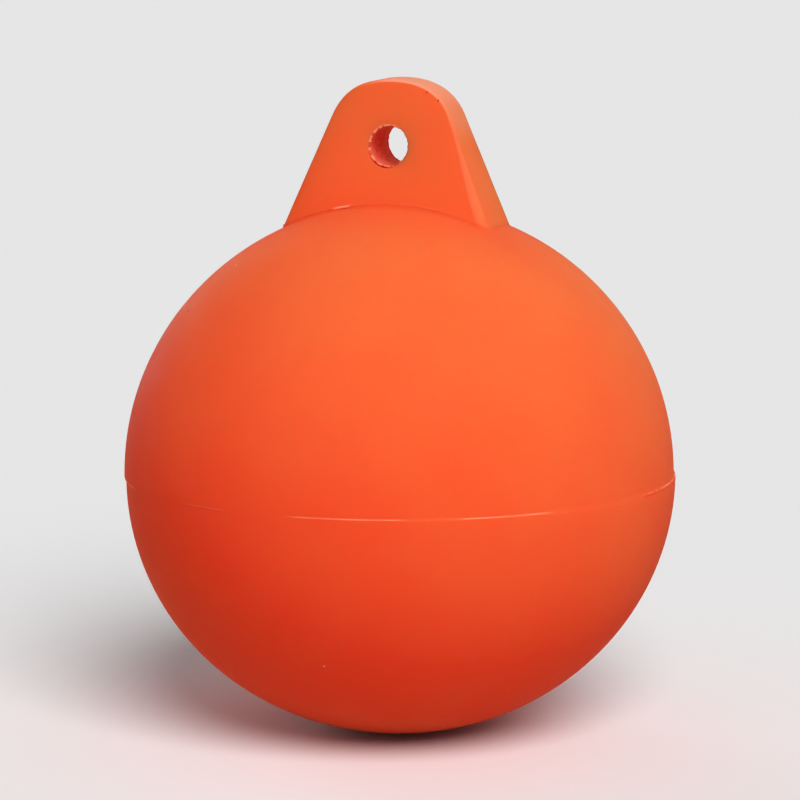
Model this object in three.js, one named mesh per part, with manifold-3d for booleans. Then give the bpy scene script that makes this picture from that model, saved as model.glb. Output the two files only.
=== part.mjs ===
// Marker buoy: a hollow ball float moulded in one piece with its mooring lug.
//
// Millimetres, +Z up. The origin is the centre of the eye. The eye's bore runs along Y, and the lug
// is a drafted plate whose two flat faces look along -Y and +Y. The ball hangs below it.

import * as THREE from 'three';
import { mergeVertices } from 'three/addons/utils/BufferGeometryUtils.js';
import Module from 'manifold-3d';

const wasm = await Module();
wasm.setup();

// The ball, from the flash line where the two halves of the mould met
const ballDiameter = 300;
const upperHeight = 147;
const lowerDepth = 142.5;
const mouldShift = 1;

// The flash itself, a low ridge of squeezed-out plastic, wider at its root than at its crest
const flashHeight = 0.35;
const flashWidth = 1.2;
const flashCrestWidth = 0.4;

// The eye
const eyeAboveFlash = 178.9;
const eyeDiameter = 22.6;

// The lug, measured from the eye's axis; its thickness is the one at that axis
const lugThickness = 29.3;
const faceDraft = 6;
const flankAngle = 22.4;
const flankDistance = 37.6;
const crownHeight = 36;
const shoulderDrop = 20;
const crownFullness = 0.63;
const edgeRadius = 3;

// The hollow rounding where the lug grows out of the ball
const footRadius = 4;

// How far a solid reaches into the one it is joined to, how deep the foot rounding's hidden corner
// and its two rims are sunk, and how far the bore's cutter runs past each face of the lug
const rootDepth = 8;
const cornerDepth = 2;
const rimDepth = 0.05;
const boreOverrun = 5;

// Fineness of the round stretches
const stepsRound = 72;
const stepsToPole = 18;
const stepsCrown = 14;
const stepsEdge = 3;
const stepsEye = 40;
const stepsCorner = 4;
const stepsFront = 12;
const stepsSide = 3;
const stepsFoot = 4;

// Rounds of the search for the height of the foot, and the distance under which points are one
const searchRounds = 12;
const mergeDistance = 1e-4;

const orange = new THREE.MeshStandardMaterial({ color: 0xf45a2c, roughness: 0.45, metalness: 0 });

const ballRadius = ballDiameter / 2;
const draftSlope = Math.tan(THREE.MathUtils.degToRad(faceDraft));
const flankSlope = Math.tan(THREE.MathUtils.degToRad(flankAngle));

// Half the lug's width and half its thickness at a height above the eye's axis
function halfWidth(z) {
  return flankDistance * Math.sqrt(1 + flankSlope ** 2) - z * flankSlope;
}

function halfThickness(z) {
  return lugThickness / 2 - z * draftSlope;
}

// Turns a closed three.js geometry into a solid that can be joined and cut
function solidFrom(geometry) {
  const bare = geometry.clone();
  bare.deleteAttribute('normal');
  bare.deleteAttribute('uv');
  const merged = mergeVertices(bare, mergeDistance);
  return new wasm.Manifold(new wasm.Mesh({
    numProp: 3,
    vertProperties: new Float32Array(merged.attributes.position.array),
    triVerts: new Uint32Array(merged.index.array),
  }));
}

function geometryFrom(solid) {
  const mesh = solid.getMesh();
  const geometry = new THREE.BufferGeometry();
  geometry.setAttribute('position', new THREE.BufferAttribute(mesh.vertProperties, 3));
  geometry.setIndex(new THREE.BufferAttribute(mesh.triVerts, 1));
  geometry.computeVertexNormals();
  return geometry;
}

// A solid of revolution round the ball's upright axis, from points of radius and height
function turned(profile) {
  const geometry = new THREE.LatheGeometry(profile, stepsRound);
  geometry.rotateX(Math.PI / 2);
  geometry.translate(0, 0, -eyeAboveFlash);
  return geometry;
}

// A quarter ellipse from the flash line to a pole
function quarterOutline(height) {
  const points = [];
  for (let i = 0; i <= stepsToPole; i += 1) {
    const angle = (i / stepsToPole) * (Math.PI / 2);
    const radius = i === stepsToPole ? 0 : ballRadius * Math.cos(angle);
    points.push(new THREE.Vector2(radius, height * Math.sin(angle)));
  }
  return points;
}

function upperHalf() {
  return solidFrom(turned([new THREE.Vector2(0, 0), ...quarterOutline(upperHeight)]));
}

// The lower half carries a plug that fills the middle of the upper one, so the two become one solid
function lowerHalf() {
  const bowl = quarterOutline(-lowerDepth).reverse();
  const plugRadius = ballRadius - mouldShift - rootDepth;
  const profile = [
    ...bowl,
    new THREE.Vector2(plugRadius, 0),
    new THREE.Vector2(plugRadius, rootDepth),
    new THREE.Vector2(0, rootDepth),
  ];
  return solidFrom(turned(profile).translate(mouldShift, 0, 0));
}

function flashRidge() {
  const inner = ballRadius - rootDepth;
  const crest = ballRadius + flashHeight;
  const halfRoot = flashWidth / 2;
  const halfCrest = flashCrestWidth / 2;
  const profile = [
    new THREE.Vector2(inner, -halfRoot),
    new THREE.Vector2(ballRadius, -halfRoot),
    new THREE.Vector2(crest, -halfCrest),
    new THREE.Vector2(crest, halfCrest),
    new THREE.Vector2(ballRadius, halfRoot),
    new THREE.Vector2(inner, halfRoot),
    new THREE.Vector2(inner, -halfRoot),
  ];
  return solidFrom(turned(profile));
}

// The lug's outline in its own plane: straight flanks, and a crown that is squarer than an arc
function lugOutline(bottom) {
  const shoulderZ = crownHeight - shoulderDrop;
  const shoulderX = halfWidth(shoulderZ);
  const cornerX = halfWidth(crownHeight);
  const handleX = cornerX * crownFullness;
  const riseX = shoulderX + (cornerX - shoulderX) * crownFullness;
  const riseZ = shoulderZ + shoulderDrop * crownFullness;
  const shape = new THREE.Shape();
  shape.moveTo(-halfWidth(bottom), bottom);
  shape.lineTo(halfWidth(bottom), bottom);
  shape.lineTo(shoulderX, shoulderZ);
  shape.bezierCurveTo(riseX, riseZ, handleX, crownHeight, 0, crownHeight);
  shape.bezierCurveTo(-handleX, crownHeight, -riseX, riseZ, -shoulderX, shoulderZ);
  return shape;
}

// The plate is extruded with rounded edges, then thinned towards the crown by the draft
function lugPlate() {
  const lowestFoot = Math.min(...footStations().map((station) => footPoint(station).point.z));
  const geometry = new THREE.ExtrudeGeometry(lugOutline(lowestFoot - rootDepth), {
    depth: lugThickness - 2 * edgeRadius,
    bevelThickness: edgeRadius,
    bevelSize: edgeRadius,
    bevelOffset: -edgeRadius,
    bevelSegments: stepsEdge,
    curveSegments: stepsCrown,
  });
  geometry.translate(0, 0, edgeRadius - lugThickness / 2);
  geometry.rotateX(Math.PI / 2);
  const position = geometry.attributes.position;
  for (let i = 0; i < position.count; i += 1) {
    const share = halfThickness(position.getZ(i)) / (lugThickness / 2);
    position.setY(i, position.getY(i) * share);
  }
  return solidFrom(geometry);
}

// Stations round the lug's level section, a rectangle with rounded corners. Each holds the place of
// the corner's centre, from -1 to 1 across and through the plate, and the way that the wall faces.
function footStations() {
  const stations = [];
  const corners = [[1, 1], [-1, 1], [-1, -1], [1, -1]];
  corners.forEach(([across, through], k) => {
    const start = k * Math.PI / 2;
    for (let i = 0; i <= stepsCorner; i += 1) {
      stations.push({ across, through, facing: start + (i / stepsCorner) * Math.PI / 2 });
    }
    const next = corners[(k + 1) % corners.length];
    const steps = across === next[0] ? stepsSide : stepsFront;
    for (let i = 1; i < steps; i += 1) {
      stations.push({
        across: THREE.MathUtils.lerp(across, next[0], i / steps),
        through: THREE.MathUtils.lerp(through, next[1], i / steps),
        facing: start + Math.PI / 2,
      });
    }
  });
  return stations;
}

// Where the lug's wall meets the ball at one station, with the outward directions of both
function footPoint({ across, through, facing }) {
  const roundX = edgeRadius * Math.sqrt(1 + flankSlope ** 2);
  const cos = Math.cos(facing);
  const sin = Math.sin(facing);
  const point = new THREE.Vector3(0, 0, upperHeight - eyeAboveFlash);
  let roundY = edgeRadius;
  for (let round = 0; round < searchRounds; round += 1) {
    roundY = edgeRadius * halfThickness(point.z) / (lugThickness / 2);
    point.x = across * (halfWidth(point.z) - roundX) + roundX * cos;
    point.y = through * (halfThickness(point.z) - roundY) + roundY * sin;
    const reach = (point.x ** 2 + point.y ** 2) / ballRadius ** 2;
    point.z = upperHeight * Math.sqrt(Math.max(0, 1 - reach)) - eyeAboveFlash;
  }
  const wall = new THREE.Vector3(roundY * cos, roundX * sin, 0);
  wall.z = wall.x * across * flankSlope + wall.y * through * draftSlope;
  wall.normalize();
  const ball = new THREE.Vector3(point.x, point.y, 0).divideScalar(ballRadius ** 2);
  ball.z = (point.z + eyeAboveFlash) / upperHeight ** 2;
  ball.normalize();
  return { point, wall, ball };
}

// One section of the foot's rounding: a buried corner, then a hollow arc from the wall to the ball
function footSection({ point, wall, ball }) {
  const cosine = wall.dot(ball);
  const bisector = wall.clone().add(ball);
  const centre = point.clone().addScaledVector(bisector, footRadius / (1 + cosine));
  const section = [point.clone().addScaledVector(bisector, -cornerDepth)];
  const opening = Math.acos(cosine);
  for (let i = 0; i <= stepsFoot; i += 1) {
    const t = i / stepsFoot;
    const inward = wall.clone().multiplyScalar(Math.sin((1 - t) * opening))
      .addScaledVector(ball, Math.sin(t * opening))
      .divideScalar(Math.sin(opening));
    const atRim = i === 0 || i === stepsFoot;
    const reach = atRim ? footRadius + rimDepth : footRadius;
    section.push(centre.clone().addScaledVector(inward, -reach));
  }
  return section;
}

function footRounding() {
  const sections = footStations().map((station) => footSection(footPoint(station)));
  const perSection = sections[0].length;
  const position = [];
  const index = [];
  sections.forEach((section, i) => {
    section.forEach((vertex, j) => {
      position.push(vertex.x, vertex.y, vertex.z);
      const nextI = (i + 1) % sections.length;
      const nextJ = (j + 1) % perSection;
      const a = i * perSection + j;
      const b = nextI * perSection + j;
      const c = nextI * perSection + nextJ;
      const d = i * perSection + nextJ;
      index.push(a, d, c, a, c, b);
    });
  });
  const geometry = new THREE.BufferGeometry();
  geometry.setAttribute('position', new THREE.Float32BufferAttribute(position, 3));
  geometry.setIndex(index);
  return solidFrom(geometry);
}

// The bore runs past both faces where the plate is thickest, at the bore's lower edge
function eyeBore() {
  const radius = eyeDiameter / 2;
  const length = 2 * (halfThickness(-radius) + boreOverrun);
  return solidFrom(new THREE.CylinderGeometry(radius, radius, length, stepsEye));
}

function floatBody() {
  const ball = upperHalf().add(lowerHalf()).add(flashRidge());
  const lug = lugPlate().add(footRounding());
  const mesh = new THREE.Mesh(geometryFrom(ball.add(lug).subtract(eyeBore())), orange);
  mesh.name = 'float_body';
  return mesh;
}

const buoy = new THREE.Group();
buoy.add(floatBody());

export default buoy;
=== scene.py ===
# %% [markdown]
# A moulded marker buoy. The real one is a single hollow ball of orange polyethylene with a mooring
# lug on top, made in one shot in a two-part mould. The imported CAD model is the fixed frame: it says
# where everything is and how large it is, in metres, with the centre of the eye at the origin.
# Blender's part is the look. So the frame is loaded first.

# %% Load the frame
from math import cos, pi, radians, sin

import bmesh
import bpy
import numpy as np
from mathutils import Matrix, Vector, noise


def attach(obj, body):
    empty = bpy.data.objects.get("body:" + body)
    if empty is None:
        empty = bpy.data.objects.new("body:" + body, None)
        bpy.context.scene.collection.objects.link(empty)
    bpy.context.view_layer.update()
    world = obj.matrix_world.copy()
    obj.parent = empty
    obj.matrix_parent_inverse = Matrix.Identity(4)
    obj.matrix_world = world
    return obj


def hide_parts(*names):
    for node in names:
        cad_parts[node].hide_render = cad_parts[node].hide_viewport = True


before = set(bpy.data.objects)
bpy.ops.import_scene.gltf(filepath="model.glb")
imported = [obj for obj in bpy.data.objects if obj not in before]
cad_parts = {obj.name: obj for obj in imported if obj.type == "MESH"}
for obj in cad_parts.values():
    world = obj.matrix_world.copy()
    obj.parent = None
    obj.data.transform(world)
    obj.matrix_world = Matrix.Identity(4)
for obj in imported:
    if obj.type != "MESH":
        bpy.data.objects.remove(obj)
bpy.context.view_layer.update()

# %% [markdown]
# The camera comes before any shape, so that each render can be laid over the photograph. It looks at
# the ball from a little above and a little to the right of the lug's flat face. A long lens was fitted
# to the outline of the ball, the line round its middle and the rim of the eye. The camera is aimed at
# the middle of the ball first, and then tipped up by a small angle, because the ball hangs low in the
# picture. Working from angles keeps each number something that a photographer could set.

# %% The camera
BALL_CENTRE = Vector((0, 0, -0.1789))
CAMERA_DISTANCE = 1.75315
CAMERA_AZIMUTH = radians(20.5)
CAMERA_ELEVATION = radians(9.446)
CAMERA_YAW = radians(-0.02)
CAMERA_PITCH = radians(1.274)
CAMERA_ROLL = radians(0.191)
LENS_MM = 144
SENSOR_MM = 36


def away(azimuth, elevation):
    """The direction from the buoy towards a place at these angles. Azimuth 0 is in front, at -Y."""
    level = cos(elevation)
    return Vector((sin(azimuth) * level, -cos(azimuth) * level, sin(elevation)))


def aimed(direction, yaw, pitch, roll):
    """A camera's turn: it looks back along direction, and is then turned, tipped and rolled a little."""
    forward = -direction
    right = forward.cross(Vector((0, 0, 1))).normalized()
    up = right.cross(forward)
    turn = Matrix.Rotation(yaw, 3, up)
    forward, right = turn @ forward, turn @ right
    turn = Matrix.Rotation(pitch, 3, right)
    forward, up = turn @ forward, turn @ up
    turn = Matrix.Rotation(roll, 3, forward)
    right, up = turn @ right, turn @ up
    return Matrix((right, up, -forward)).transposed()


camera_data = bpy.data.cameras.new("camera")
camera_data.lens = LENS_MM
camera_data.sensor_width = SENSOR_MM
camera = bpy.data.objects.new("camera", camera_data)
camera_way = away(CAMERA_AZIMUTH, CAMERA_ELEVATION)
camera_turn = aimed(camera_way, CAMERA_YAW, CAMERA_PITCH, CAMERA_ROLL)
camera_place = BALL_CENTRE + camera_way * CAMERA_DISTANCE
camera.matrix_world = Matrix.Translation(camera_place) @ camera_turn.to_4x4()
bpy.context.scene.collection.objects.link(camera)
bpy.context.scene.camera = camera
print("Camera at", tuple(round(v, 3) for v in camera.matrix_world.translation))

# %% [markdown]
# The sizes are the ones that the mould has. The ball is a little flatter than a sphere, and its upper
# and lower halves differ, because the two halves of the mould were not quite alike. They were also
# not quite in line: the rim of the lower half sits 1 mm off to the right, and its lowest point a
# little off to the left. The lower half is a touch fuller than an ellipse, whose power would be 2.

# %% Sizes of the ball
BALL_RADIUS = 0.150
UPPER_HEIGHT = 0.147
LOWER_DEPTH = 0.1425
MOULD_SHIFT = 0.001
BOTTOM_SHIFT = -0.0001
BOWL_POWER = 2.015
FLASH_Z = BALL_CENTRE.z
FLOOR_Z = FLASH_Z - LOWER_DEPTH
print("Ball:", 2000 * BALL_RADIUS, "mm wide,", round(1000 * (UPPER_HEIGHT + LOWER_DEPTH), 1), "mm tall")

# %% [markdown]
# The lug is a tapered plate. Its two faces lean towards each other and its flanks lean in, so that it
# would come out of the mould, and the left flank leans a little more than the right one. A point of
# its skin is given by its height and by the corner of the plate that it belongs to.

# %% Sizes of the lug
EYE_RADIUS = 0.0113
LUG_HALF_THICKNESS = 0.01465
FACE_SLOPE = np.tan(radians(6))
LEFT_SLOPE = np.tan(radians(23.7))
RIGHT_SLOPE = np.tan(radians(21.6))
LEFT_DISTANCE = 0.0369
RIGHT_DISTANCE = 0.0379
CROWN_HEIGHT = 0.036
SHOULDER_Z = 0.016


def smooth_step(t):
    """A step from 0 to 1 that starts and ends softly."""
    t = np.clip(t, 0, 1)
    return t * t * (3 - 2 * t)


def flank_x(z, slope, distance):
    """How far out a flank is at height z. distance is measured square to the flank, from the eye."""
    return distance * np.sqrt(1 + slope**2) - z * slope


def thickness_share(z):
    """The lug's thickness at height z, as a share of its thickness at the eye."""
    return 1 - z * FACE_SLOPE / LUG_HALF_THICKNESS


eye_width = flank_x(0, LEFT_SLOPE, LEFT_DISTANCE) + flank_x(0, RIGHT_SLOPE, RIGHT_DISTANCE)
print("Lug at the eye:", round(1000 * eye_width, 1), "mm wide,", 2000 * LUG_HALF_THICKNESS, "mm thick")

# %% [markdown]
# A level cut through the lug is a rectangle with rounded corners. The loop of points round that cut is
# the backbone of the whole mesh: every ring of the dome and every row of the lug's wall has one point
# for each station of this loop, so the skin closes without a gap and without triangles at the seams.
# Each station says which corner its point belongs to and which way the wall faces there.

# %% Stations round the lug
FRONT_STEPS = 144
SIDE_STEPS = 28
CORNER_STEPS = 8
CORNERS = ((1, 1), (-1, 1), (-1, -1), (1, -1))


def make_stations():
    """Rows of the corner's side across, its side through the plate, and the angle the wall faces."""
    rows = []
    for k, (corner_across, corner_through) in enumerate(CORNERS):
        start = k * pi / 2
        for i in range(CORNER_STEPS + 1):
            rows.append((corner_across, corner_through, start + i / CORNER_STEPS * pi / 2))
        next_across, next_through = CORNERS[(k + 1) % len(CORNERS)]
        steps = SIDE_STEPS if next_across == corner_across else FRONT_STEPS
        for i in range(1, steps):
            part = i / steps
            middle_across = corner_across + (next_across - corner_across) * part
            middle_through = corner_through + (next_through - corner_through) * part
            rows.append((middle_across, middle_through, start + pi / 2))
    return np.array(rows)


across, through, facing = make_stations().T
station_count = len(across)
station_slope = np.where(across > 0, RIGHT_SLOPE, LEFT_SLOPE)
lengthening = np.sqrt(1 + station_slope**2)
print("Stations round the lug:", station_count)

# %% [markdown]
# The edges of the real lug are not all alike. The back ones are rounded, the front ones are crisp, and
# the front right one grows soft towards the foot, where it melts into the ball. That change is what
# makes its highlight widen as it runs down. So the rounding is worked out for each station and height.

# %% The lug's rounded edges
CRISP_EDGE = 0.0012
ROUND_EDGE = 0.0022
SOFT_EDGE = 0.005
SOFT_EDGE_RUN = 0.055


def edge_radius(z):
    """How round the edge is at each station, for one height for each station."""
    softness = smooth_step((SHOULDER_Z - z) / SOFT_EDGE_RUN)
    front_right = CRISP_EDGE + (SOFT_EDGE - CRISP_EDGE) * softness
    right = (1 + across) / 2
    back = (1 + through) / 2
    return ROUND_EDGE * back + (1 - back) * (front_right * right + CRISP_EDGE * (1 - right))


def plate_y(radius):
    """How far through the plate each station is, before the draft thins it."""
    return through * (LUG_HALF_THICKNESS - radius) + radius * np.sin(facing)


def level_section(z):
    """Where each station's point lies when the lug is sliced at height z, one height for each station.
    """
    radius = edge_radius(z)
    right_edge = flank_x(z, RIGHT_SLOPE, RIGHT_DISTANCE) - radius * np.sqrt(1 + RIGHT_SLOPE**2)
    left_edge = flank_x(z, LEFT_SLOPE, LEFT_DISTANCE) - radius * np.sqrt(1 + LEFT_SLOPE**2)
    corner_x = ((1 + across) * right_edge - (1 - across) * left_edge) / 2
    x = corner_x + radius * lengthening * np.cos(facing)
    return np.stack([x, plate_y(radius) * thickness_share(z), z], axis=1)


# %% [markdown]
# Where the lug grows out of the dome, the mould had a small hollow rounding, so the plastic has one
# too. It is the path of a ball of 3 mm radius that rolls round the foot and touches the wall on one
# side and the dome on the other. First the loop where the two surfaces would meet is found by a short
# search, and then the rolling ball's centre at each station.

# %% The foot's rounding
FOOT_RADIUS = 0.003
FOOT_STEPS = 6
SEARCH_ROUNDS = 14


def dome_z(x, y):
    """The height of the dome above a place."""
    return UPPER_HEIGHT * np.sqrt(np.maximum(0, 1 - (x**2 + y**2) / BALL_RADIUS**2)) + FLASH_Z


def unit(vectors):
    """The same directions with length 1."""
    return vectors / np.linalg.norm(vectors, axis=-1, keepdims=True)


def meeting_loop():
    """Where the lug's wall and the dome meet: each round takes the height of the dome found before."""
    z = np.full(station_count, UPPER_HEIGHT + FLASH_Z)
    for _ in range(SEARCH_ROUNDS):
        x, y, _ = level_section(z).T
        z = dome_z(x, y)
    return level_section(z)


meeting = meeting_loop()
wall_normal = np.stack([np.cos(facing), np.sin(facing) * lengthening, np.zeros(station_count)], axis=1)
wall_normal[:, 2] = wall_normal[:, 0] * across * station_slope + wall_normal[:, 1] * through * FACE_SLOPE
wall_normal = unit(wall_normal)
dome_normal = meeting - np.array(BALL_CENTRE)
dome_normal = unit(dome_normal / np.array([BALL_RADIUS, BALL_RADIUS, UPPER_HEIGHT]) ** 2)


def foot_rows():
    """The rounding as rows of points, from the lug's wall down to the dome."""
    cosine = np.sum(wall_normal * dome_normal, axis=1, keepdims=True)
    opening = np.arccos(cosine)
    centre = meeting + (wall_normal + dome_normal) * FOOT_RADIUS / (1 + cosine)
    rows = []
    for i in range(FOOT_STEPS + 1):
        t = i / FOOT_STEPS
        inward = np.sin((1 - t) * opening) * wall_normal + np.sin(t * opening) * dome_normal
        row = centre - FOOT_RADIUS * inward / np.sin(opening)
        row[:, 2] += t**2 * (dome_z(row[:, 0], row[:, 1]) - row[:, 2])
        rows.append(row)
    rows[0] = level_section(rows[0][:, 2])
    return rows


foot = foot_rows()
print("Foot loop from z", round(meeting[:, 2].min(), 4), "to", round(meeting[:, 2].max(), 4))

# %% [markdown]
# Along the front of the foot runs a fine ragged crease, where an insert of the mould ended. It is a
# lip a quarter of a millimetre proud with a groove below it, plain to see on the left, almost gone
# in the middle, and faint and pale on the right. How strong it is depends on the place across the
# lug, so a few listed places and the straight lines between them are enough to describe it.

# %% The crease at the foot
CREASE_PROUD = 0.00025
CREASE_GROOVE = 0.0003
CREASE_GRAIN = 260.0
CREASE_SEED = 0.7
CREASE_LEVEL = 0.8
CREASE_UNEVENNESS = 0.9
CREASE_LEAST = 0.15
CREASE_MOST = 1.3
# Places across the lug, in metres from its middle, and at each of them how strong the crease is, how
# strong the painted highlight on its lip is and how strong the painted shade in its groove is
CREASE_PLACES = (-0.050, -0.044, -0.034, -0.022, -0.016, -0.004, 0.012, 0.026, 0.042, 0.050)
CREASE_STRENGTHS = (0.0, 0.55, 0.9, 1.0, 0.12, 0.05, 0.2, 0.45, 0.2, 0.0)
CREASE_HIGHLIGHT = (0.0, 0.05, 0.15, 0.3, 0.1, 0.05, 0.15, 0.25, 0.1, 0.0)
CREASE_SHADE = (0.0, 0.25, 0.45, 0.6, 0.1, 0.0, 0.05, 0.2, 0.1, 0.0)
# Its lip has a strong painted highlight along this short stretch
CREASE_HIGHLIGHT_STRETCH = (-0.031, -0.029, -0.022, -0.020)
# A wall faces straight to the front or the back where the sine of its angle is beyond this
STRAIGHT = 0.999


def ragged_along(x):
    """An uneven share round 1, so that the crease comes and goes along its length."""
    grain = np.array([noise.noise(Vector((v * CREASE_GRAIN, CREASE_SEED, 0))) for v in x])
    return np.clip(CREASE_LEVEL + CREASE_UNEVENNESS * grain, CREASE_LEAST, CREASE_MOST)


on_front = np.sin(facing) < -STRAIGHT
front_x = foot[0][on_front, 0]
front_ragged = ragged_along(front_x)
front_strength = np.interp(front_x, CREASE_PLACES, CREASE_STRENGTHS) * front_ragged
foot[0][on_front, 1] -= CREASE_PROUD * front_strength
foot[1][on_front, 1] += CREASE_GROOVE * front_strength
print("Crease up to", round(1000 * (CREASE_PROUD + CREASE_GROOVE) * front_strength.max(), 2), "mm deep")

# %% [markdown]
# Painted light and shade are noted as one number for each point. It is above 0 for a pale painted
# highlight and below 0 for painted shade. One number is enough because no place here is both, and the
# material reads it later to choose the colour. Painted shade darkens the corner all round the foot,
# and the crease has a painted highlight on its lip and painted shade in its groove.

# %% The foot's painted light and shade
# Painted shade: the corner all round the foot is darkened, where the lug shades the dome.
FOOT_SHADE = 0.3
HIGHLIGHT_BELOW_LIP = 0.6

torn_and_highlight = np.interp(front_x, CREASE_HIGHLIGHT_STRETCH, (0, 1, 1, 0))
pale = np.interp(front_x, CREASE_PLACES, CREASE_HIGHLIGHT) * front_ragged
groove_shade = np.interp(front_x, CREASE_PLACES, CREASE_SHADE) * front_ragged
# The crease's lip gets a pale painted highlight and its groove painted shade; along one stretch the
# highlight runs into the groove, with painted shade below it.
foot_painted_light = np.full((len(foot), station_count), -FOOT_SHADE)
foot_painted_light[0] = -FOOT_SHADE / 2
foot_painted_light[0, on_front] = np.maximum(torn_and_highlight, pale)
foot_painted_light[1, on_front] = HIGHLIGHT_BELOW_LIP * torn_and_highlight - (FOOT_SHADE + groove_shade) * (1 - torn_and_highlight)
foot_painted_light[2, on_front] = -FOOT_SHADE - groove_shade * (1 + torn_and_highlight) / 2
# This prints the range of painted light and shade at the foot.
print("Wear at the foot from", round(foot_painted_light.min(), 2), "to", round(foot_painted_light.max(), 2))

# %% [markdown]
# The dome could be a sphere with the lug pushed into it by a boolean, but that leaves long thin
# triangles along the joint, and they show as creases in a satin finish. Here its rings change shape
# instead: the last one is the circle of the flash line, the first is the oblong of the foot, and those
# between are a mixture of both. The mixing is done on the dome's own map of angle from the pole, so
# that every ring lies exactly on the dome.

# %% Rings of the dome and the bowl
DOME_RINGS = 46
DOME_CROWDING = 1.25
BOWL_RINGS = 44

rim_angle = (np.arange(station_count) + SIDE_STEPS / 2) * 2 * pi / station_count
rim_way = np.stack([np.cos(rim_angle), np.sin(rim_angle)], axis=1)


def to_map(points):
    """A dome point as angle from the pole times direction, in a plane."""
    distance = np.hypot(points[:, 0], points[:, 1])
    polar = np.arcsin(np.clip(distance / BALL_RADIUS, 0, 1))
    return points[:, :2] / distance[:, None] * polar[:, None]


def from_map(place, height):
    """Back from the map to a point of the dome, or of the bowl where height is negative."""
    polar = np.hypot(place[:, 0], place[:, 1])
    level = place / polar[:, None] * BALL_RADIUS * np.sin(polar)[:, None]
    z = FLASH_Z + height * np.cos(polar)
    return np.stack([level[:, 0], level[:, 1], z], axis=1)


def dome_rings(last_polar):
    """Rings from the foot's rounding down to this angle from the pole, closer together at the foot."""
    start = to_map(foot[-1])
    end = rim_way * last_polar
    shares = np.linspace(0, 1, DOME_RINGS)[1:] ** DOME_CROWDING
    return [from_map(start + (end - start) * share, UPPER_HEIGHT) for share in shares]


def bowl_rings(first_polar):
    """Rings from this angle to the lowest point, fuller than an ellipse and a little out of line."""
    rings = []
    for polar in np.linspace(first_polar, 0, BOWL_RINGS, endpoint=False):
        fuller = (np.sin(polar) ** BOWL_POWER + np.cos(polar) ** BOWL_POWER) ** (-1 / BOWL_POWER)
        ring = np.array(BALL_CENTRE) + (from_map(rim_way * polar, -LOWER_DEPTH) - BALL_CENTRE) * fuller
        ring[:, 0] += MOULD_SHIFT + (BOTTOM_SHIFT - MOULD_SHIFT) * np.cos(polar)
        rings.append(ring)
    return rings


print("Dome of", DOME_RINGS, "rings and bowl of", BOWL_RINGS)

# %% [markdown]
# The flash is the thin ridge of plastic that was squeezed into the joint of the mould and then trimmed
# by hand. So it is uneven: along some stretches it stands up as a crisp bright line, and elsewhere it
# was pared and scraped until nothing shows. Those stretches are listed, and noise makes each of
# them ragged. The noise is read along the rim itself, so it closes on itself without a jump.

# %% Where the flash stands
# In degrees round the ball from the front to the right, and for each stretch how high the flash
# stands, how torn it is, and the painted line just below it: painted shade below 0, a painted highlight
# above 0
PROUD_STRETCHES = (
    (0, 20, 1, 0, 0),
    (20, 33, 0.25, 0, 0),
    (33, 50, 0.9, 0, 0),
    (80, 90, 0.5, 1, -0.75),
    (90, 112, 1, 1, -0.75),
    (150, 190, 0.7, 0, 0),
    (215, 238, 0.5, 0.5, -0.5),
    (288, 308, 0.8, 0.3, 0.5),
    (334, 342, 0.4, 0, -0.3),
)
FLASH_FADE = 2.5
FLASH_GRAIN = 21.0
FLASH_FINE_GRAIN = 3
FLASH_MIDDLE = 0.75
FLASH_DRIFT = 0.5
FLASH_FINE_DRIFT = 0.3
FLASH_TORN_DRIFT = 1.7
FLASH_LEAST = 0.3
# How strong the painted line below the flash is, and how fine its unevenness is
UNDER_FLASH_MIDDLE = 0.75
UNDER_FLASH_GRAIN = 2
# The rim's own angles start on the right, this many degrees on from the front
RIM_START = 90


def flash_at(degrees):
    """How far the flash stands at one place round the ball, how far it is ripped, and the painted line
    below it.
    """
    nearest = (0, 0, 0)
    for start, end, *state in PROUD_STRETCHES:
        from_middle = abs((degrees - (start + end) / 2 + 180) % 360 - 180)
        within = float(smooth_step(1 - (from_middle - (end - start) / 2) / FLASH_FADE))
        if state[0] * within > nearest[0]:
            nearest = [value * within for value in state]
    return nearest


def flash_shares():
    """For each station, the flash's height as a share of the highest, and the painted line below it."""
    rows = []
    for angle in rim_angle:
        spot = Vector((cos(angle), sin(angle), 0)) * FLASH_GRAIN
        share, torn_and_highlight, under_flash = flash_at(np.degrees(angle) + RIM_START)
        fine_drift = FLASH_FINE_DRIFT + FLASH_TORN_DRIFT * torn_and_highlight
        fine = fine_drift * noise.noise(spot * FLASH_FINE_GRAIN)
        ragged = FLASH_MIDDLE + FLASH_DRIFT * noise.noise(spot) + fine
        standing = share * min(1, max(FLASH_LEAST * (1 - torn_and_highlight), ragged))
        rows.append((standing, under_flash * (UNDER_FLASH_MIDDLE + noise.noise(spot * UNDER_FLASH_GRAIN))))
    return np.array(rows).T


flash_share, under_flash_light = flash_shares()
print("Flash stands along", round(100 * np.mean(flash_share > 0)), "% of the rim")

# %% [markdown]
# Because the halves of the mould are out of line, the upper one overhangs on the left, and the lower
# one leaves a small ledge on the right. One profile makes all of this: a step from the bowl's rim to
# the dome's, sharp where the flash was left and scraped smooth elsewhere, and filled up to the ridge's
# own height where it stands. The ridge gets a pale painted highlight, and a thin painted line runs
# just below the flash: painted shade on most stretches and a painted highlight on one.

# %% The flash's profile
FLASH_HALF_BAND = 0.0024
FLASH_LEVELS = np.array([2.4, 1.4, 0.8, 0.5, 0.3, 0.15, 0, -0.15, -0.3, -0.5, -0.8, -1.4, -2.4]) / 1000
FLASH_SHARP_HALF = 0.0002
FLASH_SCRAPED_HALF = 0.0022
FLASH_HALF_WIDTH = 0.00026
FLASH_HIGHEST = 0.00034
# A pale painted highlight on the ridge; the next two numbers place the painted line just below the
# flash.
FLASH_HIGHLIGHT = 0.8
UNDER_FLASH_LEVEL = -0.0009
UNDER_FLASH_HALF_WIDTH = 0.0004


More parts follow.
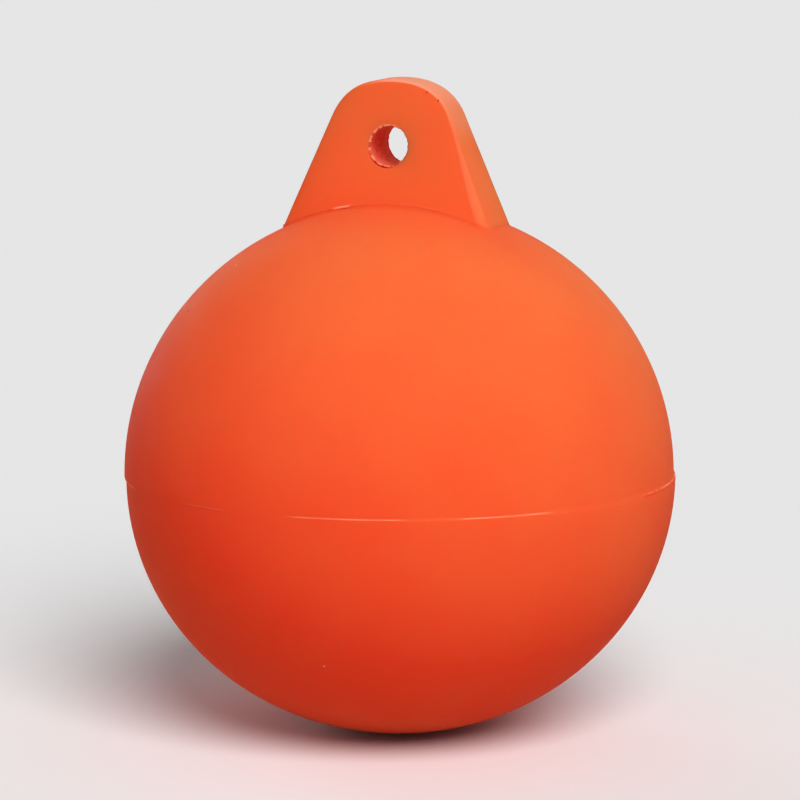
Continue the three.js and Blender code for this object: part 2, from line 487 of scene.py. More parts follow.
def flash_row(level):
    """The points and the painted light of the row round the rim that is this far above the flash line.
    """
    half = UPPER_HEIGHT if level > 0 else LOWER_DEPTH
    radius = BALL_RADIUS * np.sqrt(1 - (level / half) ** 2)
    step_half = FLASH_SCRAPED_HALF + (FLASH_SHARP_HALF - FLASH_SCRAPED_HALF) * np.sqrt(flash_share)
    on_dome = smooth_step(0.5 + level / (2 * step_half))
    side_step = MOULD_SHIFT * (1 - on_dome) * rim_way[:, 0]
    ridge = flash_share * np.exp(-((level / FLASH_HALF_WIDTH) ** 2))
    lift = np.maximum(0, BALL_RADIUS + FLASH_HIGHEST - radius - side_step)
    reach = radius + side_step + lift * ridge
    z = np.full(station_count, FLASH_Z + level)
    painted_light_shade = FLASH_HIGHLIGHT * ridge + under_flash_light * np.exp(-(((level - UNDER_FLASH_LEVEL) / UNDER_FLASH_HALF_WIDTH) ** 2))
    return np.stack([rim_way[:, 0] * reach, rim_way[:, 1] * reach, z], axis=1), painted_light_shade


upper_polar = np.arccos(FLASH_HALF_BAND / UPPER_HEIGHT)
lower_polar = np.arccos(FLASH_HALF_BAND / LOWER_DEPTH)
print("Flash stands up to", round(1000 * FLASH_HIGHEST * flash_share.max(), 2), "mm high")

# %% [markdown]
# All points go into one list and all faces into another, and small helpers join one row of points to
# the next with a band of quads. One mesh without a gap is what the real moulding is, and a closed
# surface also lets light travel inside the plastic later on.

# %% Collecting the skin
skin_points = []
skin_painted_light = []
skin_faces = []


def add_row(points, painted_light_shade=0.0):
    """Adds points with their painted light and shade, and gives back their numbers in the list."""
    first = len(skin_points)
    skin_points.extend(map(tuple, points))
    skin_painted_light.extend(np.broadcast_to(painted_light_shade, len(points)).tolist())
    return list(range(first, len(skin_points)))


def join_rows(row, next_row, closed=True):
    """A band of quads between two rows, which runs all the way round where closed is True."""
    count = len(row) if closed else len(row) - 1
    for i in range(count):
        j = (i + 1) % len(row)
        skin_faces.append((row[i], row[j], next_row[j], next_row[i]))


def join_all(rows, closed=True):
    for row, next_row in zip(rows, rows[1:]):
        join_rows(row, next_row, closed)


# %% [markdown]
# The ball is now laid down from the top: the rounding at the lug's foot, the rings of the dome, the
# flash and the rings of the bowl. The painted shade at the foot thins out over the next few
# centimetres of the dome. A ring can't close at the lowest point, so small triangles meet there, out of
# sight.

# %% The ball's skin
FOOT_SHADE_RUN = 0.055


def shade_near_foot(distance):
    """The painted shade of the dome at this distance from the foot's rounding."""
    return -FOOT_SHADE * smooth_step(1 - distance / FOOT_SHADE_RUN)


foot_ids = [add_row(row, painted_light_shade) for row, painted_light_shade in zip(foot, foot_painted_light)]
dome_ids = []
for row in dome_rings(upper_polar)[:-1]:
    dome_ids.append(add_row(row, shade_near_foot(np.linalg.norm(row - foot[-1], axis=1))))
flash_ids = [add_row(*flash_row(level)) for level in FLASH_LEVELS]
bowl_ids = [add_row(row) for row in bowl_rings(lower_polar)[1:]]
join_all(foot_ids + dome_ids + flash_ids + bowl_ids)
pole = add_row([(BOTTOM_SHIFT, 0, FLOOR_Z)])[0]
last_ring = bowl_ids[-1]
for i in range(station_count):
    skin_faces.append((last_ring[i], last_ring[(i + 1) % station_count], pole))
print("Ball and foot:", len(skin_faces), "faces")

# %% [markdown]
# The lug's edge is one long strip that climbs the right flank, goes over the crown and comes down the
# left flank. The flanks are straight. The crown is a pair of Bezier curves, squarer than an arc, as
# the real one is. Its handles lie on the lines of the flank and of the top, so the strip has no kink
# at the shoulders.

# %% The crown's outline
CROWN_ROWS = 44
RIGHT_FULLNESS = 0.66
LEFT_FULLNESS = 0.69


def crown_half(slope, distance, fullness):
    """Points of half the crown's outline and their outward directions, from the shoulder to the top."""
    shoulder = np.array([flank_x(SHOULDER_Z, slope, distance), SHOULDER_Z])
    corner = np.array([flank_x(CROWN_HEIGHT, slope, distance), CROWN_HEIGHT])
    rise = shoulder + (corner - shoulder) * fullness
    run = np.array([corner[0] * fullness, CROWN_HEIGHT])
    top = np.array([0, CROWN_HEIGHT])
    t = np.linspace(0, 1, CROWN_ROWS + 1)[:, None]
    place = (1 - t) ** 3 * shoulder + 3 * (1 - t) ** 2 * t * rise + 3 * (1 - t) * t**2 * run + t**3 * top
    travel = (1 - t) ** 2 * (rise - shoulder) + 2 * (1 - t) * t * (run - rise) + t**2 * (top - run)
    outward = unit(np.stack([travel[:, 1], -travel[:, 0]], axis=1))
    return place, outward


right_place, right_outward = crown_half(RIGHT_SLOPE, RIGHT_DISTANCE, RIGHT_FULLNESS)
left_place, left_outward = crown_half(LEFT_SLOPE, LEFT_DISTANCE, LEFT_FULLNESS)
crown_place = np.concatenate([right_place, (left_place * [-1, 1])[-2::-1]])
crown_outward = np.concatenate([right_outward, (left_outward * [-1, 1])[-2::-1]])
print("Crown is", round(1000 * crown_place[0, 0], 1), "mm to its right shoulder")

# %% [markdown]
# The crown has a pale painted highlight and sheen, more so on the right. The left of it is plain
# orange, and the painted highlight is strongest from the middle of the top onwards and fades out below
# the right shoulder.

# %% The crown's painted highlight
CROWN_HIGHLIGHT = 0.78
CROWN_HIGHLIGHT_START = -0.022
CROWN_HIGHLIGHT_FULL = 0.004
SHOULDER_HIGHLIGHT = 0.3


def above_shoulder(z):
    """How far up the crown a height is: 0 at the shoulders and 1 at the top."""
    return (z - SHOULDER_Z) / (CROWN_HEIGHT - SHOULDER_Z)


def highlight_at(place):
    """How strong the crown's painted highlight is at one place: nothing on the left, most at the top on
    the right.
    """
    onto_top = smooth_step((place[0] - CROWN_HIGHLIGHT_START) / (CROWN_HIGHLIGHT_FULL - CROWN_HIGHLIGHT_START))
    up = smooth_step(above_shoulder(place[1]))
    return onto_top * (SHOULDER_HIGHLIGHT + (CROWN_HIGHLIGHT - SHOULDER_HIGHLIGHT) * up)


# This prints the strength of the painted highlight at the top of the crown.
print("Crown's top is rubbed by", round(float(highlight_at((0, CROWN_HEIGHT))), 2))

# %% [markdown]
# The strip is as wide as the lug is thick. Its columns are the stations of the lug's right-hand and
# left-hand side, from the front face to the back one, and each crown row is set in from the outline by
# the rounding of the edges. The crown's front edge lies a little lower than its back one. The flanks
# start from the foot's own points, so no seam is left there. The crisp edge on the front right has a
# pale painted highlight, and the top of the right flank carries on the crown's painted highlight.

# %% The lug's edge strip
FLANK_ROWS = 40
FRONT_DROP = 0.0006
HIGHLIGHT_ROWS = 12
EDGE_HIGHLIGHT = 0.16
# The part of that edge with the painted highlight: only where it faces the front at least this much
EDGE_FACING = -0.5


def strip_columns():
    """The stations of the right and of the left flank, from the front face to the back one."""
    order = list(range(station_count))
    corner = CORNER_STEPS + 1
    left_start = corner + FRONT_STEPS - 1
    left_end = left_start + 2 * corner + SIDE_STEPS - 1
    right_start = left_end + FRONT_STEPS - 1
    return order[right_start:] + order[:corner], order[left_start:left_end][::-1]


right_columns, left_columns = strip_columns()
crown_radius = edge_radius(np.full(station_count, SHOULDER_Z))
strip_inset = (crown_radius * (1 - np.abs(np.cos(facing))))[right_columns]
strip_y = plate_y(crown_radius)[right_columns]
strip_front = 0.5 - strip_y / (2 * LUG_HALF_THICKNESS)


def crown_row(place, outward):
    """One row of the crown, from the front face to the back one."""
    x = place[0] - outward[0] * strip_inset
    drop = FRONT_DROP * above_shoulder(place[1]) * strip_front
    z = place[1] - outward[1] * strip_inset - drop
    return np.stack([x, strip_y * thickness_share(z), z], axis=1)


def flank_rows(columns, shoulder_row):
    """Rows between the foot's upper loop and the shoulder, foot first and without either end."""
    low = foot[0][columns, 2]
    rows = []
    for i in range(1, FLANK_ROWS):
        z = np.zeros(station_count)
        z[columns] = low + (shoulder_row[:, 2] - low) * i / FLANK_ROWS
        rows.append(level_section(z)[columns])
    return rows


crown_rows = [crown_row(place, outward) for place, outward in zip(crown_place, crown_outward)]
right_rows = flank_rows(right_columns, crown_rows[0])
below_shoulder = len(right_rows) - np.arange(len(right_rows))
right_highlight = SHOULDER_HIGHLIGHT * smooth_step(1 - below_shoulder / HIGHLIGHT_ROWS)
on_front_edge = (through == -1) & (across == 1) & (np.sin(facing) < EDGE_FACING)
front_edge_highlight = EDGE_HIGHLIGHT * on_front_edge[right_columns]
right_painted_light = [np.maximum(painted_pale, front_edge_highlight) for painted_pale in right_highlight]
right_ids = [add_row(row, row_painted_light) for row, row_painted_light in zip(right_rows, right_painted_light)]
crown_ids = [add_row(row, highlight_at(place)) for row, place in zip(crown_rows, crown_place)]
left_ids = [add_row(row) for row in flank_rows(left_columns, crown_rows[-1])[::-1]]
right_foot = [foot_ids[0][k] for k in right_columns]
left_foot = [foot_ids[0][k] for k in left_columns]
strip_ids = [right_foot] + right_ids + crown_ids + left_ids + [left_foot]
join_all(strip_ids, closed=False)
print("Edge strip:", len(strip_ids), "rows of", len(right_columns), "points")

# %% [markdown]
# The eye was cut through the moulded plate, and the cutter pushed up a thin ragged burr that leans
# over the mouth of the bore. It is steep on its outer side and slopes down into the eye, so the left
# side of it catches the light, and it also has a pale painted highlight. Below it on the left, the lip
# has torn away from the face and left a narrow gap, darkened with painted shade. A turned profile
# would look machined, so the profile's height is changed by noise at each angle round the eye.

# %% The eye's lip
LIP_HIGHEST = 0.0008
# Rows from the face to the bore, in millimetres: the distance outside the bore, then as shares the
# lip's height, its lean over the bore, the gap's depth, the painted highlight and the gap's painted
# shade
LIP_PROFILE = (
    (1.05, 0.0, 0.0, 0.0, 0.0, 0.0),
    (0.80, 0.0, 0.0, 0.3, 0.0, 0.4),
    (0.56, 0.05, 0.0, 1.0, 0.0, 1.0),
    (0.20, 0.3, 0.0, 1.0, 0.2, 1.0),
    (0.08, 1.0, 0.0, 0.2, 0.6, 0.0),
    (-0.06, 0.95, 0.4, 0.0, 0.75, 0.0),
    (-0.24, 0.5, 1.0, 0.0, 0.7, 0.0),
    (-0.28, 0.0, 1.0, 0.0, 0.3, 0.0),
    (-0.20, -0.8, 0.8, 0.0, 0.0, 0.0),
)
LIP_LEAN = 0.0009
LIP_GRAIN = 2.4
LIP_LEVEL = 0.6
# How fine each layer of the lip's unevenness is, and how strong
LIP_UNEVENNESS = ((1, 0.3), (2.7, 2.2), (7.9, 1.2))
LIP_LEAST = 0.1
LIP_MOST = 1.1
LIP_MIDDLE = 0.65
LIP_TO_LEFT = 0.35
GAP_DEPTH = 0.001
GAP_ANGLE = radians(243)
GAP_HALF_SPAN = radians(50)
GAP_STEEPNESS = 1.4
FRONT_SEED = 1.3


def lip_strength(angle, seed):
    """How much lip is left at one angle round the eye: ragged, and most of it on the left."""
    spot = Vector((cos(angle) * LIP_GRAIN, sin(angle) * LIP_GRAIN, seed))
    layers = [strength * noise.noise(spot * fineness) for fineness, strength in LIP_UNEVENNESS]
    ragged = sum(layers, LIP_LEVEL)
    return min(LIP_MOST, max(LIP_LEAST, ragged)) * (LIP_MIDDLE - LIP_TO_LEFT * cos(angle))


def gap_strength(angle):
    """How deep the gap is at one angle round the eye, as a share of its full depth."""
    from_middle = abs((angle - GAP_ANGLE + pi) % (2 * pi) - pi)
    return float(smooth_step(GAP_STEEPNESS * (1 - from_middle / GAP_HALF_SPAN)))


left_lip = LIP_HIGHEST * lip_strength(pi, FRONT_SEED)
print("Lip on the left of the eye:", round(1000 * left_lip, 2), "mm high")

# %% [markdown]
# Each face of the lug is a flat field between the rounded edge and the eye. Spokes run from the eye's
# rim to the edge, one for every point of the edge, and rings of quads are laid across them. The rings
# crowd together near the eye, where the finest shape is. The back has less of a lip and no gap.

# %% The lug's two faces
BACK_SEED = 8.1
BACK_LIP = 0.3
FACE_RINGS = 20
FACE_CROWDING = 1.6
EDGE_SUPPORTS = (0.0005, 0.0015)
LIP_START = 0.0012


def face_points(place, side, proud):
    """Points of one face, from their places across and up. side is -1 for the front, 1 for the back."""
    depth = LUG_HALF_THICKNESS * thickness_share(place[:, 1]) + proud
    return np.stack([place[:, 0], side * depth, place[:, 1]], axis=1)


def face_outline(side):
    """The ids round one face: along the foot, and then up and over the edge strip."""
    edge = [row[0 if side < 0 else -1] for row in strip_ids]
    bottom = [foot_ids[0][k] for k in range(station_count) if np.sin(facing[k]) * side > STRAIGHT]
    if side > 0:
        bottom = bottom[::-1]
    return bottom + edge[1:-1]


def face_field(side, seed, lip_share, gap_share):
    """One face, from its outline to the mouth of the bore."""
    rows = [face_outline(side)]
    outer = np.array([(skin_points[i][0], skin_points[i][2]) for i in rows[0]])
    way = unit(outer)
    angle = np.arctan2(way[:, 1], way[:, 0])
    strength = np.array([lip_strength(a, seed) for a in angle]) * lip_share
    gap = np.array([gap_strength(a) for a in angle]) * gap_share
    lip_start = EYE_RADIUS + LIP_START
    run = np.linalg.norm(outer, axis=1) - lip_start
    distances = [run - support for support in EDGE_SUPPORTS]
    for i in range(1, FACE_RINGS + 1):
        distances.append((run - EDGE_SUPPORTS[-1]) * (1 - i / FACE_RINGS) ** FACE_CROWDING)
    for distance in distances:
        rows.append(add_row(face_points(way * (lip_start + distance)[:, None], side, 0)))
    for outside, height, lean, depth, pale, gap_shade in LIP_PROFILE:
        radius = EYE_RADIUS + outside / 1000 - LIP_LEAN * lean * strength
        proud = LIP_HIGHEST * height * strength * (1 - depth * gap) - GAP_DEPTH * depth * gap
        lip_painted_light = pale * strength * (1 - gap * gap_shade) - gap_shade * gap
        rows.append(add_row(face_points(way * radius[:, None], side, proud), lip_painted_light))
    join_all(rows)
    return rows[-1], way


front_mouth, spoke_way = face_field(-1, FRONT_SEED, 1, 1)
back_mouth, _ = face_field(1, BACK_SEED, BACK_LIP, 0)
print("Each face has", len(front_mouth), "spokes")

# %% [markdown]
# The bore joins the two mouths. It is straight, with faint marks left by the cutter, and its rows are
# spread evenly through the plate's thickness. Its ends have a little pale painted sheen.

# %% The bore
BORE_ROWS = 18
BORE_LIP_DEPTH = 0.0012
BORE_SCORE = 0.0001
BORE_GRAIN_ROUND = 6
BORE_GRAIN_ALONG = 9
BORE_SHEEN = 0.22
BORE_SHEEN_START = 0.33
BORE_SHEEN_STEEPNESS = 1.5


def bore_score(t):
    """The cutter's marks at one row, from -1 at the front mouth to 1 at the back one."""
    places = [Vector((*(way * BORE_GRAIN_ROUND), t * BORE_GRAIN_ALONG)) for way in spoke_way]
    return np.array([BORE_SCORE * noise.noise(place) for place in places])


def bore_rows():
    """Rows of points through the plate, each with its painted sheen."""
    half = LUG_HALF_THICKNESS * thickness_share(spoke_way[:, 1] * EYE_RADIUS)
    rows = []
    for i in range(BORE_ROWS + 1):
        t = -1 + 2 * i / BORE_ROWS
        radius = EYE_RADIUS + bore_score(t)
        y = t * (half - BORE_LIP_DEPTH)
        row = np.stack([spoke_way[:, 0] * radius, y, spoke_way[:, 1] * radius], axis=1)
        rows.append((row, BORE_SHEEN * smooth_step(BORE_SHEEN_STEEPNESS * (abs(t) - BORE_SHEEN_START))))
    return rows


bore_ids = [add_row(row, painted_pale) for row, painted_pale in bore_rows()]
join_all([front_mouth] + bore_ids + [back_mouth])
print("Whole skin:", len(skin_points), "points,", len(skin_faces), "faces")

# %% [markdown]
# A moulding of this kind is never quite true. As the wall cools it pulls in by a tenth of a millimetre
# here and there, and the light shows it as a gentle unevenness. The skin only ever moves inwards,
# because cooling plastic shrinks away from the mould, so the buoy stays inside its true size.

# %% The skin's sink marks
SINK_DEPTH = 0.00018
SINK_GRAIN = 16.0
SINK_FINE_GRAIN = 55.0
SINK_BROAD_SHARE = 0.75


def sink_at(place):
    """How far the skin has sunk at one place."""
    broad = 0.5 + 0.5 * noise.noise(place * SINK_GRAIN)
    fine = 0.5 + 0.5 * noise.noise(place * SINK_FINE_GRAIN)
    return SINK_DEPTH * (SINK_BROAD_SHARE * broad + (1 - SINK_BROAD_SHARE) * fine)


print("Skin sinks by up to", 1000 * SINK_DEPTH, "mm")

# %% [markdown]
# There is also one small flat spot near the middle of the front, where the ball once lay against
# something hard, and there are two nicks in the crown's front edge. Sculpting would do, but a plane
# that holds back what lies beyond it, and a soft push at two places, are exact and can be repeated.

# %% The flat spot and the nicks
FLAT_SPOT_WAY = away(radians(-4), radians(15.5))
FLAT_SPOT_DEPTH = 0.0004
NICKS = (Vector((0.0207, -0.0117, 0.0286)), Vector((0.0273, -0.0121, 0.0244)))
NICK_RADIUS = 0.0014
NICK_DEPTH = 0.0006
NICK_WAY = Vector((0.6, -0.4, 0.7)).normalized()


def dome_reach(way):
    """How far the dome's skin is from the ball's centre in one direction."""
    return 1 / ((way.x**2 + way.y**2) / BALL_RADIUS**2 + way.z**2 / UPPER_HEIGHT**2) ** 0.5


flat_spot_reach = dome_reach(FLAT_SPOT_WAY) - SINK_DEPTH / 2 - FLAT_SPOT_DEPTH


def pressed(place):
    """The point's new place once the flat spot and the nicks are pressed into the skin."""
    depth = (place - BALL_CENTRE).dot(FLAT_SPOT_WAY) - flat_spot_reach
    place = place - FLAT_SPOT_WAY * max(0, depth)
    for nick in NICKS:
        share = float(smooth_step(1 - (place - nick).length / NICK_RADIUS))
        place = place - NICK_WAY * NICK_DEPTH * share
    return place


print("Flat spot lies", round(1000 * flat_spot_reach, 2), "mm from the ball's centre")

# %% [markdown]
# Now the mesh is made from the lists. BMesh first turns every face outwards, which gives each point a
# normal to sink along, and it counts the edges that don't have exactly two faces: a closed skin has
# none. The painted light and shade becomes an attribute of the points, which the material can read.

# %% The moulding
buoy_mesh = bpy.data.meshes.new("buoy_skin")
buoy_mesh.from_pydata(skin_points, [], skin_faces)
shell = bmesh.new()
shell.from_mesh(buoy_mesh)
bmesh.ops.recalc_face_normals(shell, faces=shell.faces)
shell.normal_update()
for vertex in shell.verts:
    vertex.co = pressed(vertex.co - vertex.normal * sink_at(vertex.co))
open_edges = sum(1 for edge in shell.edges if len(edge.link_faces) != 2)
shell.to_mesh(buoy_mesh)
shell.free()
# This attribute holds painted light: painted highlights above 0 and painted shade below 0.
painted_light_layer = buoy_mesh.attributes.new("painted_light_shade", "FLOAT", "POINT")
painted_light_layer.data.foreach_set("value", skin_painted_light)
for polygon in buoy_mesh.polygons:
    polygon.use_smooth = True
buoy = bpy.data.objects.new("buoy_moulding", buoy_mesh)
bpy.context.scene.collection.objects.link(buoy)
print("Open or doubled edges:", open_edges)

# %% [markdown]
# The finish is natural satin polyethylene, made from nodes and not from pictures. Three small helpers
# keep the node trees short to read: a noise, a change of range, and a mix of two colours.

# %% Helpers for the finish


def noise_of(tree, coordinates, scale, detail, roughness=0.5):
    """An even noise between 0 and 1, finer with a greater scale."""
    pattern = tree.nodes.new("ShaderNodeTexNoise")
    pattern.inputs["Scale"].default_value = scale
    pattern.inputs["Detail"].default_value = detail
    pattern.inputs["Roughness"].default_value = roughness
    tree.links.new(coordinates, pattern.inputs["Vector"])
    return pattern.outputs["Fac"]


def spread_of(tree, value, low, high, to_low, to_high):
    """A value moved from one range to another, and held at that range's ends."""
    spread = tree.nodes.new("ShaderNodeMapRange")
    spread.inputs["From Min"].default_value = low
    spread.inputs["From Max"].default_value = high
    spread.inputs["To Min"].default_value = to_low
    spread.inputs["To Max"].default_value = to_high
    tree.links.new(value, spread.inputs["Value"])
    return spread.outputs["Result"]


def mixed_colour(tree, share, first, second):
    """The first colour where share is 0 and the second where it is 1."""
    mix = tree.nodes.new("ShaderNodeMix")
    mix.data_type = "RGBA"
    tree.links.new(share, mix.inputs["Factor"])
    for name, colour in (("A", first), ("B", second)):
        if isinstance(colour, tuple):
            mix.inputs[name].default_value = colour
        else:
            tree.links.new(colour, mix.inputs[name])
    return mix.outputs["Result"]


# %% [markdown]
# The colour holds painted light: a deep orange on the lower left turns to a paler orange on the upper
# right, on the side of the key light, and the pigment was never mixed perfectly, so the share drifts a
# little. On top of that come painted shade in the grooves, gaps and corners, pale painted highlights
# and sheen, the darker red of the bore's wall as painted shade, and a few small flecks. Each is one
# more mix over the colour below it, with a share between 0 and 1, so any of them can be changed without
# touching the others.

# %% The plastic's colours
# These two oranges are a lit and a shaded copy of one orange: painted shading, paler towards the upper
# right, the side of the key light.
PAINTED_LIT_ORANGE = (0.92, 0.153, 0.041, 1)
PAINTED_SHADE_ORANGE = (0.94, 0.055, 0.017, 1)
PAINTED_LIGHT_WAY = away(radians(47), radians(49))
PAINTED_LIGHT_START = 0.1
PAINTED_LIGHT_END = 0.95
TONE_DRIFT = 0.25
TONE_GRAIN = 14
DRIFT_DETAIL = 4
# Noise seldom leaves this range
NOISE_RANGE = (0.3, 0.7)
# The colour of the pale painted highlights on the crown, edges, flash, crease and lip, and of the sheen
# in the bore.
PAINTED_HIGHLIGHT_PALE = (1.0, 0.38, 0.23, 1)
# Painted shade at the foot, in the crease's groove, in the gap by the eye and below the flash.
PAINTED_SHADE = (0.80, 0.020, 0.010, 1)
DEEP_PAINTED_SHADE = (0.16, 0.006, 0.003, 1)
# Painted shade stronger than this share turns from red to nearly black
SHADE_TURN = 0.7
# The bore's wall is painted a darker red, as painted shade inside the hole.
BORE_RED = (0.72, 0.036, 0.029, 1)
# The bore's colour fades out over this distance outside it, and between these two values of painted
# light: the wall of the bore has less than the first, and the high lip's painted highlight has more
BORE_MARGIN = 0.0002
LIP_LIGHT_RANGE = (0.25, 0.4)
NICK_RED = (0.62, 0.05, 0.02, 1)
# The mark in a nick as a share of the nick's radius, and the full core of a mark as a share of its size
NICK_MARK_SHARE = 0.6
MARK_CORE_SHARE = 0.6
# Small marks: the way to each from the ball's centre, how far out it is, its size and its colour
FLECKS = (
    (away(radians(2.0), radians(-33.9)), 0.1476, 0.0008, (1.0, 0.42, 0.30, 1)),
    (away(radians(-51.1), radians(51.9)), 0.1481, 0.0007, (1.0, 0.38, 0.22, 1)),
    (away(radians(-53.8), radians(38.3)), 0.1488, 0.0008, (0.45, 0.02, 0.008, 1)),
)


def drift_of(tree, place, grain, lowest, highest):
    """A slow drift between two values over the skin."""
    return spread_of(tree, noise_of(tree, place, grain, DRIFT_DETAIL), *NOISE_RANGE, lowest, highest)


def painted_light_share(tree, place):
    """The share of painted light: 0 on the lower left and below, 1 on the upper right, with a slight
    drift.
    """
    height = tree.nodes.new("ShaderNodeVectorMath")
    height.operation = "DOT_PRODUCT"
    height.inputs[1].default_value = PAINTED_LIGHT_WAY
    tree.links.new(place, height.inputs[0])
    start = BALL_CENTRE.dot(PAINTED_LIGHT_WAY) + BALL_RADIUS * PAINTED_LIGHT_START
    end = BALL_CENTRE.dot(PAINTED_LIGHT_WAY) + BALL_RADIUS * PAINTED_LIGHT_END
    share = spread_of(tree, height.outputs["Value"], start, end, 0, 1)
    drift = drift_of(tree, place, TONE_GRAIN, -TONE_DRIFT / 2, TONE_DRIFT / 2)
    total = tree.nodes.new("ShaderNodeMath")
    total.use_clamp = True
    tree.links.new(share, total.inputs[0])
    tree.links.new(drift, total.inputs[1])
    return total.outputs[0]


def bore_share(tree, place, painted_light_shade):
    """1 on the bore's wall, painted darker red as shade, and 0 on the lip's painted highlight and
    elsewhere.
    """
    level = tree.nodes.new("ShaderNodeVectorMath")
    level.operation = "MULTIPLY"
    level.inputs[1].default_value = (1, 0, 1)
    tree.links.new(place, level.inputs[0])
    from_axis = tree.nodes.new("ShaderNodeVectorMath")
    from_axis.operation = "LENGTH"
    tree.links.new(level.outputs["Vector"], from_axis.inputs[0])
    inside = spread_of(tree, from_axis.outputs["Value"], EYE_RADIUS + BORE_MARGIN, EYE_RADIUS, 0, 1)
    off_lip = spread_of(tree, painted_light_shade, *LIP_LIGHT_RANGE, 1, 0)
    both = tree.nodes.new("ShaderNodeMath")
    both.operation = "MULTIPLY"
    tree.links.new(inside, both.inputs[0])
    tree.links.new(off_lip, both.inputs[1])
    return both.outputs[0]


def mark_share(tree, place, middle, size):
    """A small round mark on the skin, 1 inside and fading out at its rim."""
    from_mark = tree.nodes.new("ShaderNodeVectorMath")
    from_mark.operation = "DISTANCE"
    from_mark.inputs[1].default_value = middle
    tree.links.new(place, from_mark.inputs[0])
    return spread_of(tree, from_mark.outputs["Value"], size, size * MARK_CORE_SHARE, 0, 1)


def painted_colour(tree, place, painted_light_shade):
    """The plastic's colour with its painted light and shade, its marks and its flecks, one mix over the
    other.
    """
    colour = mixed_colour(tree, painted_light_share(tree, place), PAINTED_SHADE_ORANGE, PAINTED_LIT_ORANGE)
    colour = mixed_colour(tree, bore_share(tree, place, painted_light_shade), colour, BORE_RED)
    colour = mixed_colour(tree, spread_of(tree, painted_light_shade, 0, 1, 0, 1), colour, PAINTED_HIGHLIGHT_PALE)
    colour = mixed_colour(tree, spread_of(tree, painted_light_shade, 0, -SHADE_TURN, 0, SHADE_TURN), colour, PAINTED_SHADE)
    colour = mixed_colour(tree, spread_of(tree, painted_light_shade, -SHADE_TURN, -1, 0, 1), colour, DEEP_PAINTED_SHADE)
    for way, reach, size, fleck in FLECKS:
        share = mark_share(tree, place, BALL_CENTRE + way * reach, size)
        colour = mixed_colour(tree, share, colour, fleck)
    for nick in NICKS:
        share = mark_share(tree, place, nick, NICK_RADIUS * NICK_MARK_SHARE)
        colour = mixed_colour(tree, share, colour, NICK_RED)
    return colour


# %% [markdown]
# The skin of polyethylene scatters light: red travels a long way inside it and yellow hardly at all.
# That is why the shaded side of such a float glows deep red and does not turn brown. Subsurface
# scattering does exactly this, with a longer radius for red. Where a pale painted highlight lies, the
# scattering is turned down, so that the highlight stays pale. The gloss is broken up by noise in the
# roughness, and by the very fine pebbling that the mould leaves.

# %% The orange plastic
SCATTER_RADIUS = (1.0, 0.012, 0.005)
SCATTER_SCALE = 0.03
# From this much painted highlight on, the scattering is down to this share
FULL_HIGHLIGHT = 0.6
SCATTER_UNDER_HIGHLIGHT = 0.15
SHINE = 0.01
GLOSS_GRAIN = 60
GLOSS_ROUGHNESS = (0.50, 0.62)
PEBBLE_GRAIN = 420
PEBBLE_DETAIL = 3
PEBBLE_ROUGHNESS = 0.6
PEBBLE_STRENGTH = 0.12
PEBBLE_DEPTH = 0.0003


def pebbling(tree, place):
    """The normal of the skin, tilted a little by the mould's fine pebbling."""
    pebble = tree.nodes.new("ShaderNodeBump")
    pebble.inputs["Strength"].default_value = PEBBLE_STRENGTH
    pebble.inputs["Distance"].default_value = PEBBLE_DEPTH
    height = noise_of(tree, place, PEBBLE_GRAIN, PEBBLE_DETAIL, PEBBLE_ROUGHNESS)
    tree.links.new(height, pebble.inputs["Height"])
    return pebble.outputs["Normal"]


def orange_plastic():
    """The whole finish, with its colour, gloss, scattering and pebbling."""
    material = bpy.data.materials.new("float_plastic")
    material.use_nodes = True
    tree = material.node_tree
    shader = tree.nodes["Principled BSDF"]
    place = tree.nodes.new("ShaderNodeTexCoord").outputs["Object"]
    painted_light_node = tree.nodes.new("ShaderNodeAttribute")
    painted_light_node.attribute_name = "painted_light_shade"
    painted_light_shade = painted_light_node.outputs["Fac"]
    tree.links.new(painted_colour(tree, place, painted_light_shade), shader.inputs["Base Color"])
    tree.links.new(drift_of(tree, place, GLOSS_GRAIN, *GLOSS_ROUGHNESS), shader.inputs["Roughness"])
    scattering = spread_of(tree, painted_light_shade, 0, FULL_HIGHLIGHT, 1, SCATTER_UNDER_HIGHLIGHT)
    tree.links.new(scattering, shader.inputs["Subsurface Weight"])
    shader.inputs["Subsurface Radius"].default_value = SCATTER_RADIUS
    shader.inputs["Subsurface Scale"].default_value = SCATTER_SCALE
    shader.inputs["Specular IOR Level"].default_value = SHINE
    tree.links.new(pebbling(tree, place), shader.inputs["Normal"])
    return material


float_plastic = orange_plastic()
buoy_mesh.materials.append(float_plastic)
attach(buoy, "root")
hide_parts("float_body")
print("Orange plastic:", len(float_plastic.node_tree.nodes), "nodes")

# %% [markdown]
# The studio is plain. Its floor runs far past the edges of the picture, so no edge of it shows. The
# camera sees it nearly white. The light that bounces off it finds it greyer, or it would wash out the
# deep red of the ball's underside.

# %% The floor
FLOOR_SIZE = 120
FLOOR_PALE = (0.96, 0.96, 0.96, 1)
FLOOR_BOUNCE = (0.62, 0.62, 0.62, 1)
FLOOR_ROUGHNESS = 0.9
FLOOR_CORNERS = ((-1, -1), (1, -1), (1, 1), (-1, 1))


def floor_finish():
    """A dull pale finish that looks lighter than the light it throws back."""
    material = bpy.data.materials.new("studio_floor")
    material.use_nodes = True
    tree = material.node_tree
    shader = tree.nodes["Principled BSDF"]
    seen = tree.nodes.new("ShaderNodeLightPath").outputs["Is Camera Ray"]
    tree.links.new(mixed_colour(tree, seen, FLOOR_BOUNCE, FLOOR_PALE), shader.inputs["Base Color"])
    shader.inputs["Roughness"].default_value = FLOOR_ROUGHNESS
    shader.inputs["Specular IOR Level"].default_value = 0
    return material


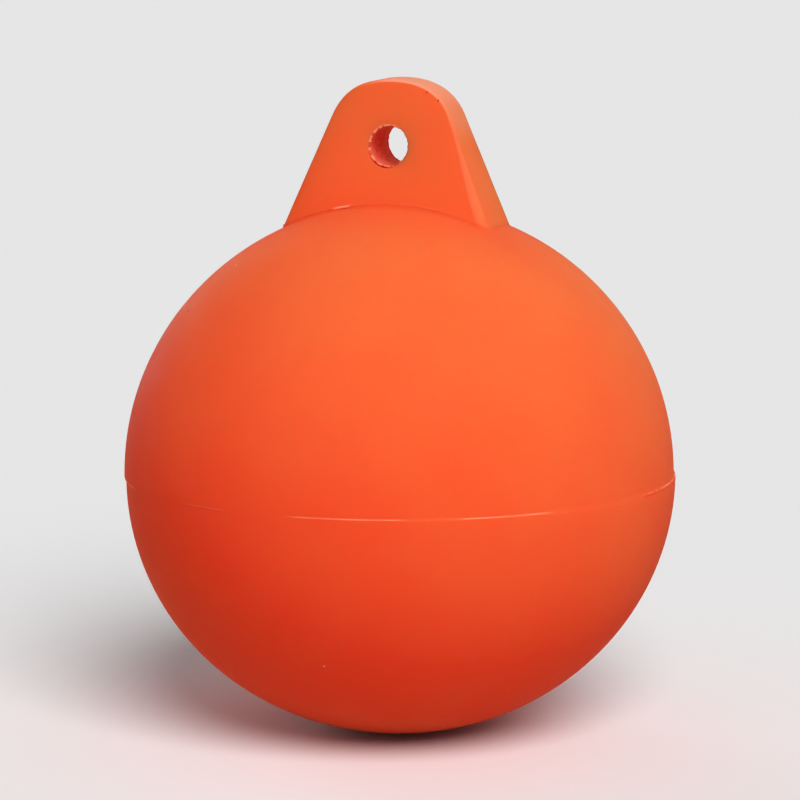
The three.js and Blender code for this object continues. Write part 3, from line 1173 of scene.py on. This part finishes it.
floor_mesh = bpy.data.meshes.new("studio_floor")
half_floor = FLOOR_SIZE / 2
floor_corners = [(x * half_floor, y * half_floor, FLOOR_Z) for x, y in FLOOR_CORNERS]
floor_mesh.from_pydata(floor_corners, [], [(0, 1, 2, 3)])
floor_mesh.materials.append(floor_finish())
floor = bpy.data.objects.new("studio_floor", floor_mesh)
bpy.context.scene.collection.objects.link(floor)
print("Floor at z", round(FLOOR_Z, 4))

# %% [markdown]
# One large soft light comes from the upper right in front. A weak one from behind on the left lifts
# the ball's left rim and gives the far side some shape. Both are suns with a wide angle. They light
# the ball and the floor alike, so the floor stays even and keeps the buoy's soft shadow, where a near
# lamp would leave a bright pool.

# %% The light
KEY_AZIMUTH = radians(36)
KEY_ELEVATION = radians(40)
KEY_STRENGTH = 2.75
KEY_SPREAD = radians(35)
BACK_AZIMUTH = radians(232)
BACK_ELEVATION = radians(10)
BACK_STRENGTH = 0.7
BACK_SPREAD = radians(30)


def far_light(name, way, strength, spread):
    """A sun that shines from one direction, as wide as the given angle."""
    lamp = bpy.data.lights.new(name, "SUN")
    lamp.energy = strength
    lamp.angle = spread
    light = bpy.data.objects.new(name, lamp)
    light.rotation_euler = way.to_track_quat("Z", "Y").to_euler()
    bpy.context.scene.collection.objects.link(light)


far_light("key_light", away(KEY_AZIMUTH, KEY_ELEVATION), KEY_STRENGTH, KEY_SPREAD)
far_light("back_light", away(BACK_AZIMUTH, BACK_ELEVATION), BACK_STRENGTH, BACK_SPREAD)
print("Lights:", [light.name for light in bpy.data.lights])

# %% [markdown]
# The sky is even. To the camera and in reflections it is as pale as the floor, so no horizon shows,
# but it adds only a weak light of its own, and so the ball keeps its shading. A light path node tells
# these cases apart.

# %% The sky
SKY_SEEN = 0.81
SKY_FILL = 0.22


def greater_of(tree, first, second):
    """The greater of two values."""
    node = tree.nodes.new("ShaderNodeMath")
    node.operation = "MAXIMUM"
    tree.links.new(first, node.inputs[0])
    tree.links.new(second, node.inputs[1])
    return node.outputs[0]


sky = bpy.data.worlds.new("studio_sky")
sky.use_nodes = True
sky_tree = sky.node_tree
background = sky_tree.nodes["Background"]
background.inputs["Color"].default_value = (1, 1, 1, 1)
ray = sky_tree.nodes.new("ShaderNodeLightPath").outputs
shown = greater_of(sky_tree, ray["Is Camera Ray"], ray["Is Glossy Ray"])
shown = greater_of(sky_tree, shown, ray["Is Transmission Ray"])
sky_tree.links.new(spread_of(sky_tree, shown, 0, 1, SKY_FILL, SKY_SEEN), background.inputs["Strength"])
bpy.context.scene.world = sky
bpy.context.scene.view_settings.view_transform = "Standard"
